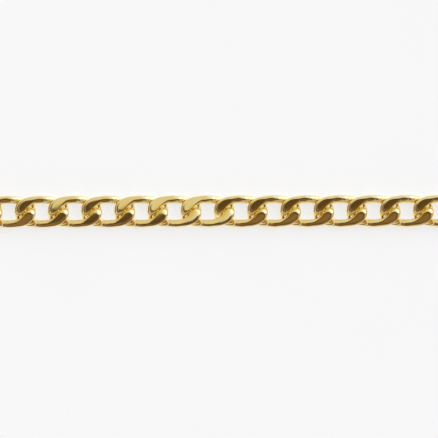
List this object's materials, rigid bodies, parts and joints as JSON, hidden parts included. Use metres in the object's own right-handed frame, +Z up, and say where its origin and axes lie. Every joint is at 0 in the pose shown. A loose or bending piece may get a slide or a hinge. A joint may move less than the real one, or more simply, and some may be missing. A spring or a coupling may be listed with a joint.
{
  "type": "open curb chain necklace",
  "caption": "Flat open curb chain necklace of interlocking oval links, closed by a plain box clasp and lying as a long loop.",
  "frame": {"origin": "middle of the loop, on the surface that the necklace lies on", "axes": "+X along the straight front stretch, +Y from the front towards the clasp, +Z up out of the surface"},
  "size_m": [0.183, 0.09, 0.0019],
  "materials": {
    "gold_plate": "polished yellow gold plate over brass, bright, with flat pressed facets",
    "clasp_gold": "polished yellow gold plate over brass"
  },
  "bodies": {
    "root": {"chain_left": "gold_plate", "chain_right": "gold_plate", "clasp": "clasp_gold"}
  },
  "joints": []
}
